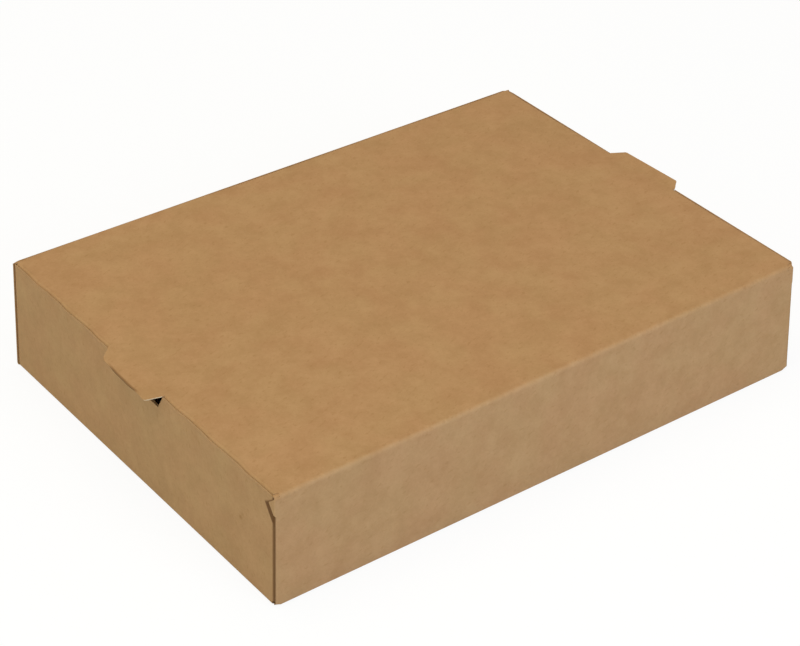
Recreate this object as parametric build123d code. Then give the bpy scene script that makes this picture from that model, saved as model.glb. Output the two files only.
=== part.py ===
from build123d import *
import os
from math import cos, radians, sin

# A shallow kraft takeout box, folded from one sheet of board.
# The tray and the lid share one long soft crease, which the lid turns on.
# The lid's front flap and end flaps tuck down inside the tray's walls, and a tongue
# cut out of each end flap stays in the lid's plane and stands out over a notch in the wall.
# Frame: X along the box, Y from the hinge wall to the front wall, Z up.
# Origin: the centre of the bottom face. All sizes are in millimetres.

# The folded sheet
board = 0.5
fold_radius = 1.0
corner_radius = 1.4
crease_radius = 2.0

# The box outside its walls
box_length = 280.0
box_width = 200.0
box_height = 54.0

# Clearances of the closed lid
lid_gap_above_walls = 0.2
end_flap_gap = 0.4
front_flap_gap = 0.4

# Glue flaps, folded from the end walls and glued inside the long walls
glue_flap_reach = 22.0
glue_flap_taper = 5.0
glue_flap_foot = 1.6
glue_flap_drop = 1.0

# Lugs on the hinge wall, which wrap round its two upright corners
lug_reach = 4.2
lug_height = 10.6
lug_below_top = 0.9
lug_stand_off = 0.4

# The lid's corners beside the crease
corner_cut_x = 2.9
corner_cut_y = 3.2
shoulder_gap = 0.2

# The lid's front flap
front_flap_depth = 28.0
front_flap_lean = 4.0
front_flap_inset = 2.0
front_flap_side_taper = 3.0
front_flap_round = 9.0

# The lid's end flaps
end_flap_depth = 32.0
end_flap_hinge_inset = 5.0
end_flap_hinge_slant = 12.0
end_flap_front_inset = 5.0
end_flap_front_slant = 7.0
end_flap_round = 6.0

# The tongues, and the openings that they leave in the end flaps and end walls
tongue_root_width = 42.0
tongue_tip_width = 34.0
tongue_length = 7.3
tongue_tip_round = 0.8
tongue_bend_radius = 4.0
left_tongue_droop = 14.0
right_tongue_droop = 1.5
notch_depth = 7.6
notch_side_gap = 0.3

# Places that follow from the sizes above
half_board = board / 2
half_length = box_length / 2
half_width = box_width / 2
wall_top = box_height - board - lid_gap_above_walls
hinge_y = -half_width
hinge_z = box_height - crease_radius
lid_middle_z = box_height - half_board
lid_half_length = half_length - board - end_flap_gap
lid_flat_half_length = lid_half_length - fold_radius
lid_front_y = half_width - 2 * board - front_flap_gap
lid_flat_front_y = lid_front_y - fold_radius
crease_half_length = half_length - corner_cut_x
shoulder_start = crease_half_length + shoulder_gap
corner_cut_end_y = hinge_y + corner_cut_y
fuse = 2 * board


def folded_section(points, radius, plane):
    """Section of a folded sheet, along a path through the middle of its thickness."""
    middle_radius = radius - half_board
    path = FilletPolyline(*points, radius=middle_radius)
    return plane * trace(path, board)


def prism(points, plane, low, high):
    """Outline on a plane, carried along the plane's normal from low to high."""
    outline = plane.offset(low) * make_face(Polyline(*points, close=True))
    return extrude(outline, high - low)


def notch_outline(root_half, tip_half, depth, top):
    """Tapered outline across Y, widest at the top, running down by depth."""
    rise = fold_radius
    spread = (root_half - tip_half) / depth
    high_half = root_half + spread * rise
    return [
        (-high_half, top + rise),
        (-tip_half, top - depth),
        (tip_half, top - depth),
        (high_half, top + rise),
    ]


def long_walls_and_bottom():
    """Hinge wall, bottom and front wall as one sheet bent up along both long sides."""
    side = half_width - half_board
    section = folded_section(
        [(-side, hinge_z), (-side, half_board), (side, half_board), (side, wall_top)],
        fold_radius,
        Plane.YZ,
    )
    sheet = extrude(section, half_length, both=True)
    flat_half_width = half_width - fold_radius
    for end in (-1, 1):
        middle_of_cut = end * half_length
        cut = Pos(middle_of_cut, 0, 0) * Box(2 * fold_radius, 2 * flat_half_width, 2 * fold_radius)
        sheet -= cut
    return sheet


def shoulders():
    """Short rises of the hinge wall beside the crease, up to the height of the other walls."""
    rise = None
    for end in (-1, 1):
        low = min(end * shoulder_start, end * half_length)
        high = max(end * shoulder_start, end * half_length)
        piece = prism(
            [
                (hinge_y, hinge_z - fuse),
                (hinge_y + board, hinge_z - fuse),
                (hinge_y + board, wall_top),
                (hinge_y, wall_top),
            ],
            Plane.YZ,
            low,
            high,
        )
        rise = piece if rise is None else rise + piece
    return rise


def end_wall(end):
    """End wall with its bottom fold, its upright folds and its two glue flaps."""
    outer = half_length - half_board
    flat_half = half_width - board - corner_radius
    flat_section = folded_section(
        [
            (end * (half_length - fold_radius - fuse), half_board),
            (end * outer, half_board),
            (end * outer, wall_top),
        ],
        fold_radius,
        Plane.XZ,
    )
    flat = extrude(flat_section, flat_half, both=True)

    flap_y = half_width - board - half_board
    flap_x = half_length - glue_flap_reach
    round_section = folded_section(
        [
            (end * flap_x, -flap_y),
            (end * outer, -flap_y),
            (end * outer, flap_y),
            (end * flap_x, flap_y),
        ],
        corner_radius,
        Plane.XY,
    )
    wrapped = extrude(round_section, wall_top)
    fold_x = half_length - corner_radius
    flap_top = hinge_z - glue_flap_drop
    side_view = prism(
        [
            (end * (half_length + board), glue_flap_foot),
            (end * fold_x, glue_flap_foot),
            (end * (flap_x - board), glue_flap_foot + glue_flap_taper),
            (end * (flap_x - board), flap_top - glue_flap_taper),
            (end * shoulder_start, flap_top),
            (end * shoulder_start, wall_top),
            (end * (half_length + board), wall_top),
        ],
        Plane.XZ,
        -half_width,
        half_width,
    )
    return flat + (wrapped & side_view)


def end_notch(end):
    """Opening at the top of an end wall, where the tongue comes out."""
    outline = notch_outline(
        tongue_root_width / 2 + notch_side_gap,
        tongue_tip_width / 2 + notch_side_gap,
        notch_depth,
        box_height,
    )
    low = end * half_length - 2 * board
    high = end * half_length + 2 * board
    return prism(outline, Plane.YZ, low, high)


def lug(end):
    """Three-cornered lug that leaves the hinge wall and wraps round onto the end wall."""
    wrap_radius = board + lug_stand_off
    corner_x = half_length + wrap_radius - half_board
    section = folded_section(
        [
            (end * (half_length - fuse), hinge_y + half_board),
            (end * corner_x, hinge_y + half_board),
            (end * corner_x, hinge_y + lug_reach),
        ],
        wrap_radius,
        Plane.XY,
    )
    top = box_height - lug_below_top
    foot = top - lug_height
    strip = extrude(Pos(0, 0, foot) * section, lug_height)
    pointed = prism(
        [
            (hinge_y - board, foot),
            (hinge_y + half_board, foot),
            (hinge_y + lug_reach, (top + foot) / 2),
            (hinge_y + half_board, top),
            (hinge_y - board, top),
        ],
        Plane.YZ,
        -box_length,
        box_length,
    )
    return strip & pointed


def build_tray():
    """Tray: bottom, four walls, glued corners, shoulders, lugs and notches."""
    tray = long_walls_and_bottom() + shoulders()
    for end in (-1, 1):
        tray += end_wall(end)
        tray -= end_notch(end)
        tray += lug(end)
    return tray


def lid_panel():
    """Flat top of the lid, with its corners cut off beside the crease."""
    crease_end_y = hinge_y + crease_radius
    return prism(
        [
            (-crease_half_length, crease_end_y),
            (crease_half_length, crease_end_y),
            (lid_flat_half_length, corner_cut_end_y),
            (lid_flat_half_length, lid_flat_front_y),
            (-lid_flat_half_length, lid_flat_front_y),
            (-lid_flat_half_length, corner_cut_end_y),
        ],
        Plane.XY,
        box_height - board,
        box_height,
    )


def crease():
    """Soft rounded fold between the hinge wall and the lid, which moves with the lid."""
    centre_y = hinge_y + crease_radius
    bend = CenterArc((centre_y, hinge_z), crease_radius - half_board, 90, 90)
    run = Line((centre_y, lid_middle_z), (centre_y + fuse, lid_middle_z))
    section = Plane.YZ * trace(bend + run, board)
    return extrude(section, crease_half_length, both=True)


def front_flap():
    """Flap along the lid's front edge, leaning in so that it clears the wall as it swings."""
    lean = radians(front_flap_lean)
    fold_y = lid_front_y - half_board
    section = folded_section(
        [
            (lid_flat_front_y - fuse, lid_middle_z),
            (fold_y, lid_middle_z),
            (fold_y - front_flap_depth * sin(lean), lid_middle_z - front_flap_depth * cos(lean)),
        ],
        fold_radius,
        Plane.YZ,
    )
    root_half = lid_half_length - front_flap_inset
    tip_half = root_half - front_flap_side_taper
    sheet = extrude(section, root_half, both=True)
    foot = box_height - front_flap_depth - board
    outline = make_face(
        FilletPolyline(
            (-root_half, box_height),
            (-root_half, box_height - fold_radius),
            (-tip_half, foot),
            (tip_half, foot),
            (root_half, box_height - fold_radius),
            (root_half, box_height),
            radius=[fold_radius / 2, front_flap_round, front_flap_round, fold_radius / 2],
        )
        + Line((root_half, box_height), (-root_half, box_height))
    )
    front_view = extrude(Plane.XZ.offset(-half_width) * outline, box_width)
    return sheet & front_view


def end_flap(end):
    """Flap along one short side of the lid, with the opening that its tongue leaves."""
    outer = lid_half_length - half_board
    hinge_end = hinge_y + end_flap_hinge_inset
    front_end = lid_front_y - end_flap_front_inset
    section = folded_section(
        [
            (end * (lid_flat_half_length - fuse), lid_middle_z),
            (end * outer, lid_middle_z),
            (end * outer, lid_middle_z - end_flap_depth),
        ],
        fold_radius,
        Plane.XZ,
    )
    sheet = extrude(section, half_width, both=True)
    foot = box_height - end_flap_depth
    slant_top = box_height - fold_radius
    outline = make_face(
        FilletPolyline(
            (hinge_end, box_height),
            (hinge_end, slant_top),
            (hinge_end + end_flap_hinge_slant, foot),
            (front_end - end_flap_front_slant, foot),
            (front_end, slant_top),
            (front_end, box_height),
            radius=[fold_radius / 2, end_flap_round, end_flap_round, fold_radius / 2],
        )
        + Line((front_end, box_height), (hinge_end, box_height))
    )
    side_view = extrude(Plane.YZ.offset(-box_length) * outline, 2 * box_length)
    opening_outline = notch_outline(
        tongue_root_width / 2,
        tongue_tip_width / 2,
        notch_depth,
        box_height,
    )
    low = end * lid_half_length - fold_radius
    high = end * lid_half_length + fold_radius
    opening = prism(opening_outline, Plane.YZ, low, high)
    return (sheet & side_view) - opening


def tongue(end, droop):
    """Tongue in the lid's plane, standing out over the end wall and drooping a little."""
    turn = radians(droop)
    root_x = lid_flat_half_length
    reach = tongue_length + fold_radius
    section = folded_section(
        [
            (end * (root_x - fuse), lid_middle_z),
            (end * root_x, lid_middle_z),
            (end * (root_x + reach * cos(turn)), lid_middle_z - reach * sin(turn)),
        ],
        tongue_bend_radius,
        Plane.XZ,
    )
    sheet = extrude(section, tongue_root_width / 2, both=True)
    root_half = tongue_root_width / 2
    tip_half = tongue_tip_width / 2
    tip_x = root_x + reach * cos(turn)
    outline = make_face(
        FilletPolyline(
            (end * (root_x - 2 * fuse), -root_half),
            (end * lid_half_length, -root_half),
            (end * tip_x, -tip_half),
            (end * tip_x, tip_half),
            (end * lid_half_length, root_half),
            (end * (root_x - 2 * fuse), root_half),
            radius=[tongue_tip_round, tongue_tip_round, tongue_tip_round, tongue_tip_round],
        )
        + Line(
            (end * (root_x - 2 * fuse), root_half),
            (end * (root_x - 2 * fuse), -root_half),
        )
    )
    top_view = extrude(outline, 2 * box_height)
    return sheet & top_view


def build_lid():
    """Lid: top panel, crease, front flap, two end flaps and two tongues."""
    lid = lid_panel() + crease() + front_flap()
    for end in (-1, 1):
        lid += end_flap(end)
    lid += tongue(-1, left_tongue_droop)
    lid += tongue(1, right_tongue_droop)
    return lid


os.makedirs("parts", exist_ok=True)
for name, solid in (("tray", build_tray()), ("lid", build_lid())):
    export_step(solid, f"parts/{name}.step")
    box = solid.bounding_box()
    print(name, "solids", len(solid.solids()), "volume", round(solid.volume, 1), box.min, box.max)
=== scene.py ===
"""A shallow kraft takeout box in a plain studio.

The box is one folded sheet. Here it is two meshes: the tray, and the lid with the soft
crease that joins it to the tray's hinge wall. Each is a set of grids worked out with
numpy along folded profiles, welded into one sheet through the middle of the board and
then given the board's thickness. All lengths are in metres. X runs along the box, Y from
the hinge wall to the front wall and Z up.
"""

from __future__ import annotations

import logging
import math
from dataclasses import dataclass
from enum import IntEnum
from functools import cached_property
from typing import Callable, Sequence

import bmesh
import bpy
import numpy as np
from mathutils import Matrix, Vector

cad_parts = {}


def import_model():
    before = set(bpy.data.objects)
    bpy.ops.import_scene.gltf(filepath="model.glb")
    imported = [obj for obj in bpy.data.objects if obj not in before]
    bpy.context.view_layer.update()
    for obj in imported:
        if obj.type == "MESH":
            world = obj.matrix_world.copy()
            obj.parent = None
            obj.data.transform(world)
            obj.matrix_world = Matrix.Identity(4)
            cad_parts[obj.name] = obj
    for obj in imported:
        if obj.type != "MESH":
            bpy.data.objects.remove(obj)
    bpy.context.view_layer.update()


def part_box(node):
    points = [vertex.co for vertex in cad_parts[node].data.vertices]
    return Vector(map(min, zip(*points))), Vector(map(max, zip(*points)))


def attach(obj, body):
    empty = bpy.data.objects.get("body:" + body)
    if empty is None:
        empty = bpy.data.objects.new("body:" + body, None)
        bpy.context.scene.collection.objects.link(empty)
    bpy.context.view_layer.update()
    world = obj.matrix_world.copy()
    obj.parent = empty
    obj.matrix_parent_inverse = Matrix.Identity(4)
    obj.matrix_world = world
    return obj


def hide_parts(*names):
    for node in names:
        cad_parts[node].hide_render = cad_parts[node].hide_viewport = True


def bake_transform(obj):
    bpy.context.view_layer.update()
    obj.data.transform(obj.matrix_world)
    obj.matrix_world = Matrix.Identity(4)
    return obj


Array = np.ndarray
Triple = tuple[float, float, float]
Span = tuple[float, float]
Socket = bpy.types.NodeSocket
MM = 0.001
TINY = 1e-9
LOG = logging.getLogger("takeout_box")


class End(IntEnum):
    """The box's two ends, by the sign of X."""

    LEFT = -1
    RIGHT = 1


class Side(IntEnum):
    """The box's two long sides, by the sign of Y."""

    HINGE = -1
    FRONT = 1


class BoardFace(IntEnum):
    """The three surfaces of the board, in the order of a piece's material slots."""

    OUTSIDE = 0
    INSIDE = 1
    CUT_EDGE = 2


def stations(marks: Sequence[float], step: float) -> Array:
    """Places from the first mark to the last that include each mark.

    Args:
        marks: Places in order, rising or falling.
        step: The most that two neighbouring places may be apart.

    Returns:
        One row of places, evenly spaced between each two marks.
    """
    runs = [
        np.linspace(a, b, math.ceil(abs(b - a) / step - TINY) + 1)[:-1]
        for a, b in zip(marks, marks[1:])
    ]
    return np.concatenate([*runs, marks[-1:]])


def grid(*parts: Array) -> Array:
    """A grid of coordinates: each part is spread over the rows and columns, then stacked."""
    return np.stack(np.broadcast_arrays(*parts), axis=-1)


def rise(value: Array, start: float, band: float) -> Array:
    """S-curve from 0 at the start to 1 a band further on.

    It is three times the square less twice the cube of the share of the band.

    Args:
        value: Where to take it.
        start: Where it leaves 0.
        band: How far on it reaches 1.

    Returns:
        The curve at each value.
    """
    t = np.clip((value - start) / band, 0.0, 1.0)
    return t * t * (3.0 - 2.0 * t)


def near_edge(share: Array, band: float) -> Array:
    """S-curve from 0 to 1 over the last band of a half side that is 1 long."""
    return rise(share, 1.0 - band, band)


def round_off(distance: Array, radius: float) -> Array:
    """How far a rounded corner lies inside its sharp one, at a distance from one of its sides.

    It is the radius less the root of the radius squared less the square of what the
    distance lacks of the radius, and nothing past the radius.

    Args:
        distance: Distances from the side, along the other side.
        radius: The corner's radius.

    Returns:
        How far the corner is cut back at each distance.
    """
    short = np.clip(radius - distance, 0.0, radius)
    return radius - np.sqrt(radius * radius - short * short)


def round_marks(radius: float, parts: int) -> Array:
    """Distances from a side that share a quarter circle of this radius out evenly."""
    return radius * (1.0 - np.cos(np.linspace(0.0, math.pi / 2.0, parts + 1)))


@dataclass(frozen=True)
class Profile:
    """A line through the middle of the board, seen from its end.

    Args:
        points: Its points, one row of two coordinates each.
        wear_and_highlight: How far the board is painted lighter there, as rubbed board and on the
            crease partly as a painted highlight, from 0 to 1, one for each point.
    """

    points: Array
    wear_and_highlight: Array

    @classmethod
    def straight(cls, start: Sequence[float], end: Sequence[float], marks: Array) -> Profile:
        """A flat stretch, with its points at these shares of the way from start to end."""
        a, b = np.asarray(start, float), np.asarray(end, float)
        return cls(a + np.asarray(marks)[:, None] * (b - a), np.zeros(len(marks)))

    @classmethod
    def fold(cls, centre: Sequence[float], radius: float, first: float, last: float,
             parts: int = 8, rub_and_highlight: float = 0.0) -> Profile:
        """A fold: an arc about its centre, as the cosine and the sine of the angle.

        It is lightened most in its middle, as rubbed board and partly as a painted highlight: by the
        square of a half wave's sine along it.

        Args:
            centre: The arc's centre.
            radius: Its radius to the middle of the board.
            first: The angle where it starts, in degrees.
            last: The angle where it ends, in degrees.
            parts: How many straight parts it is drawn in.
            rub_and_highlight: The lightening in its middle, rubbed wear and partly a painted
                highlight.

        Returns:
            The arc with its wear.
        """
        turn = np.radians(np.linspace(first, last, parts + 1))
        ring = np.stack([np.cos(turn), np.sin(turn)], axis=1)
        worn_and_lit = rub_and_highlight * np.sin(np.linspace(0.0, math.pi, parts + 1)) ** 2
        return cls(np.asarray(centre, float) + radius * ring, worn_and_lit)

    @classmethod
    def join(cls, *pieces: Profile) -> Profile:
        """One profile from several, each of which starts where the last one ends."""
        points = [p.points if i == 0 else p.points[1:] for i, p in enumerate(pieces)]
        wears_and_highlights = [p.wear_and_highlight if i == 0 else p.wear_and_highlight[1:] for i, p in enumerate(pieces)]
        return cls(np.concatenate(points), np.concatenate(wears_and_highlights))

    def lengths(self) -> Array:
        """How far each point lies along the profile: the running sum of the steps' lengths."""
        steps = np.linalg.norm(np.diff(self.points, axis=0), axis=1)
        return np.concatenate([[0.0], np.cumsum(steps)])


@dataclass(frozen=True)
class Carton:
    """The sizes that the tray and the lid share, in metres."""

    half_length: float
    half_width: float
    height: float
    wall_top: float
    lid_front: float
    board: float = 0.5 * MM
    fold_radius: float = 1.0 * MM
    corner_radius: float = 2.0 * MM
    end_fold_radius: float = 1.5 * MM
    crease_radius: float = 2.0 * MM
    end_flap_gap: float = 0.4 * MM
    corner_cut_x: float = 2.9 * MM
    shoulder_gap: float = 0.2 * MM
    lug_stand_off: float = 0.4 * MM
    notch_depth: float = 7.6 * MM
    tongue_root_half: float = 21.0 * MM
    tongue_tip_half: float = 17.0 * MM
    notch_side_gap: float = 0.3 * MM
    edge_strip: float = 0.4 * MM
    fold_strip: float = 1.5 * MM
    step: float = 3.0 * MM

    @classmethod
    def from_frame(cls) -> Carton:
        """Reads the box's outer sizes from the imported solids."""
        tray_low, tray_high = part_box("tray")
        lid_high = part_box("lid")[1]
        lug = cls.lug_stand_off + cls.board
        return cls(
            half_length=tray_high.x - lug,
            half_width=-tray_low.y,
            height=lid_high.z,
            wall_top=tray_high.z,
            lid_front=lid_high.y,
        )

    @property
    def half_board(self) -> float:
        """Half the board's thickness."""
        return self.board / 2

    @property
    def hinge_z(self) -> float:
        """Height at which the hinge wall ends and the crease begins."""
        return self.height - self.crease_radius

    @property
    def lid_z(self) -> float:
        """Height of the middle of the lid's board."""
        return self.height - self.half_board

    @property
    def sill_z(self) -> float:
        """Height of the foot of the notches and of the end flaps' openings."""
        return self.height - self.notch_depth

    @property
    def lid_flat_half(self) -> float:
        """Half the length of the lid's flat top, up to where its end flaps fold."""
        return self.half_length - self.board - self.end_flap_gap - self.end_fold_radius

    @property
    def crease_half(self) -> float:
        """Half the length of the crease between its two cut corners."""
        return self.half_length - self.corner_cut_x

    @property
    def shoulder_start(self) -> float:
        """Where the hinge wall rises to full height beside the crease."""
        return self.crease_half + self.shoulder_gap

    @property
    def fold_middle(self) -> float:
        """Radius of a fold, measured to the middle of the board."""
        return self.fold_radius - self.half_board

    @property
    def end_fold_middle(self) -> float:
        """Radius of an end flap's fold, measured to the middle of the board."""
        return self.end_fold_radius - self.half_board

    @property
    def fold_length(self) -> float:
        """Length of board that a right-angled fold takes up."""
        return self.fold_middle * math.pi / 2

    @property
    def crease_length(self) -> float:
        """Length of board that the crease takes up."""
        return (self.crease_radius - self.half_board) * math.pi / 2

    def opening_half(self, z: Array, gap: float) -> Array:
        """Half width of a tongue's opening at a height: its sides slant in evenly downwards.

        Args:
            z: Heights.
            gap: How much wider the opening is than the tongue, on each side.

        Returns:
            The half width at each height.
        """
        spread = (self.tongue_root_half - self.tongue_tip_half) / self.notch_depth
        return self.tongue_tip_half + gap + spread * np.clip(z - self.sill_z, 0.0, None)


@dataclass(frozen=True)
class Corners:
    """How far a level's four corners lie from square, each as X, Y and Z in millimetres."""

    hinge_left: Triple
    hinge_right: Triple
    front_left: Triple
    front_right: Triple

    def shift(self, right: Array, front: Array) -> Array:
        """The four shifts blended in step with the place along X and along Y.

        Args:
            right: Shares of the way from the left end to the right one, one column.
            front: Shares of the way from the hinge wall to the front wall, one column.

        Returns:
            One row of X, Y and Z for each place, in metres.
        """
        hinge = (1 - right) * np.array(self.hinge_left) + right * np.array(self.hinge_right)
        far = (1 - right) * np.array(self.front_left) + right * np.array(self.front_right)
        return MM * ((1 - front) * hinge + front * far)


@dataclass(frozen=True)
class Settling:
    """How the real sheet departs from flat panels: smooth, small and the same each run.

    A Span is where an S-curve starts and how far on it ends.
    """

    carton: Carton
    top: Corners = Corners(
        (-0.3, -1.3, -0.2), (-1.4, 0.0, 0.8), (0.3, 0.7, 0.5), (0.1, 0.7, 0.5)
    )
    foot: Corners = Corners(
        (-1.2, -2.1, 0.0), (0.0, -3.5, 0.0), (-1.1, 1.8, 0.0), (1.1, 1.8, 0.0)
    )
    wall_bow: float = 0.35 * MM
    lid_wave: float = 0.25 * MM
    left_ripple: float = 0.16 * MM
    ripple_waves: Triple = (2.7 * MM, 7.1 * MM, 4.3 * MM)
    left_spread: float = 0.34 * MM
    right_spread: float = 0.75 * MM
    right_bulge: float = 2.05 * MM
    bulge_ease: float = 4.0 * MM
    bulge_fade: float = 0.04
    bulge_height: Span = (20.0 * MM, 25.0 * MM)
    wall_behind: float = 0.33 * MM
    front_spread: float = 0.60 * MM
    front_crush: float = 0.6 * MM
    foot_crush: float = 1.2 * MM
    foot_height: float = 5.0 * MM
    crush_height: Span = (48.0 * MM, 5.0 * MM)
    ripple_height: Span = (40.0 * MM, 12.0 * MM)
    ripple_ease: float = 8.0 * MM
    ripple_within: float = 0.95
    ripple_left: Span = (0.6, 0.38)
    wave_ease: float = 25.0 * MM
    wave_height: Span = (-3.0 * MM, 2.0 * MM)
    end_reach: Span = (90.0 * MM, 48.0 * MM)
    front_reach: Span = (60.0 * MM, 38.0 * MM)
    wall_band: float = 0.1
    push_band: float = 0.06
    top_band: float = 0.02
    foot_band: float = 0.03

    def push(self, points: Array) -> Array:
        """How far the right end's top is pushed out: the most between tongue and hinge.

        It is a spread plus an S-curve of Y, and fades out as an S-curve in the last stretch
        before the hinge.

        Args:
            points: The flat sheet's points, one row of X, Y and Z for each.

        Returns:
            One length for each point.
        """
        y, ease = points[:, 1], self.bulge_ease
        bulge = rise(-y, self.carton.tongue_root_half - ease, ease)
        fade = rise(y / self.carton.half_width, -1.0, self.bulge_fade)
        return (self.right_spread + self.right_bulge * bulge) * fade

    def upper(self, points: Array) -> Array:
        """S-curve of the height, from 0 low on an end wall to 1 near its top."""
        return rise(points[:, 2], *self.bulge_height)

    def ripple(self, points: Array) -> Array:
        """Uneven run of the left end's top edge, for the wall and the lid alike.

        It is a product of two sines along Y plus a third one, times S-curves of the place and
        of the height, which leave the corners and the lower wall straight.

        Args:
            points: The flat sheet's points, one row of X, Y and Z for each.

        Returns:
            How far out each point lies.
        """
        x, y, z = points.T
        short, long, other = self.ripple_waves
        waves = np.sin(y / short + 0.5) * np.sin(y / long) + np.sin(y / other + 2)
        at_left = rise(-x / self.carton.half_length, *self.ripple_left)
        within = rise(-np.abs(y), -self.ripple_within * self.carton.half_width, self.ripple_ease)
        return self.left_ripple * waves * at_left * within * rise(z, *self.ripple_height)

    def common(self, points: Array) -> Array:
        """The shift of both sheets: the top's and the foot's corners, blended by height.

        Args:
            points: The flat sheet's points, one row of X, Y and Z for each.

        Returns:
            One row of X, Y and Z for each point.
        """
        c = self.carton
        up = np.clip(points[:, 2:] / c.hinge_z, 0.0, 1.0)
        right = np.clip(points[:, :1] / c.half_length, -1, 1) / 2 + 0.5
        front = np.clip(points[:, 1:2] / c.half_width, -1, 1) / 2 + 0.5
        return up * self.top.shift(right, front) + (1 - up) * self.foot.shift(right, front)

    def tray(self, points: Array) -> Array:
        """Shifts the tray's corners and bows its walls.

        The bow is a sine of the height times a cosine of the place along the wall. The right
        end wall is also pushed out at its top by the lid's flap, away from its corners. The
        front corners' tops are pressed down a little and the hinge corners' feet blunted.

        Args:
            points: The flat sheet's points, one row of X, Y and Z for each.

        Returns:
            The settled points.
        """
        x, y, z = points.T
        c = self.carton
        along_x, along_y = x / c.half_length, y / c.half_width
        bow = self.wall_bow * np.sin(np.pi * np.clip(1.0 - z / c.hinge_z, 0.0, 1.0))
        at_side = near_edge(np.abs(along_y), self.wall_band)
        at_end = near_edge(np.abs(along_x), self.wall_band)
        moved = points + self.common(points)
        moved[:, 1] += np.sign(y) * at_side * bow * np.cos(along_x * np.pi / 2)
        moved[:, 0] += np.sign(x) * at_end * bow * np.cos(along_y * np.pi / 2)
        push = np.clip(self.push(points) - self.wall_behind, 0.0, None)
        push = push * self.upper(points) * rise(-along_y, -1.0, self.push_band)
        moved[:, 0] += (x > 0) * at_end * push
        moved[:, 0] -= self.ripple(points)
        corner, low = near_edge(np.abs(along_x), self.top_band), self.foot_height
        crushed = corner * near_edge(along_y, self.top_band) * rise(z, *self.crush_height)
        lifted = corner * near_edge(-along_y, self.foot_band) * rise(-z, -low, low)
        moved[:, 2] += self.foot_crush * lifted - self.front_crush * crushed
        return moved

    def lid(self, points: Array) -> Array:
        """Shifts the lid with the tray, spreads it towards its edges and waves it.

        The wave's height is a sum of three waves of the place on the lid, each with its own
        lengths and starts, times an S-curve of the distance from the crease.

        Args:
            points: The flat sheet's points, one row of X, Y and Z for each.

        Returns:
            The settled points.
        """
        x, y, z = points.T
        c = self.carton
        wave = (
            np.sin(x / 0.047 + 0.6) * np.cos(y / 0.038 + 0.4)
            + 0.6 * np.sin(x / 0.023 + y / 0.031 + 2.1)
            + 0.5 * np.cos(y / 0.017 - x / 0.060 + 1.0)
        )
        free = rise(y, -c.half_width, self.wave_ease)
        on_top = rise(z - c.height, *self.wave_height)
        right, left = rise(x, *self.end_reach), rise(-x, *self.end_reach)
        moved = points + self.common(points)
        moved[:, 2] += self.lid_wave * wave * free * on_top
        moved[:, 1] += self.front_spread * rise(y, *self.front_reach)
        moved[:, 0] += right * self.push(points) * self.upper(points)
        moved[:, 0] -= left * self.left_spread + self.ripple(points)
        return moved


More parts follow.
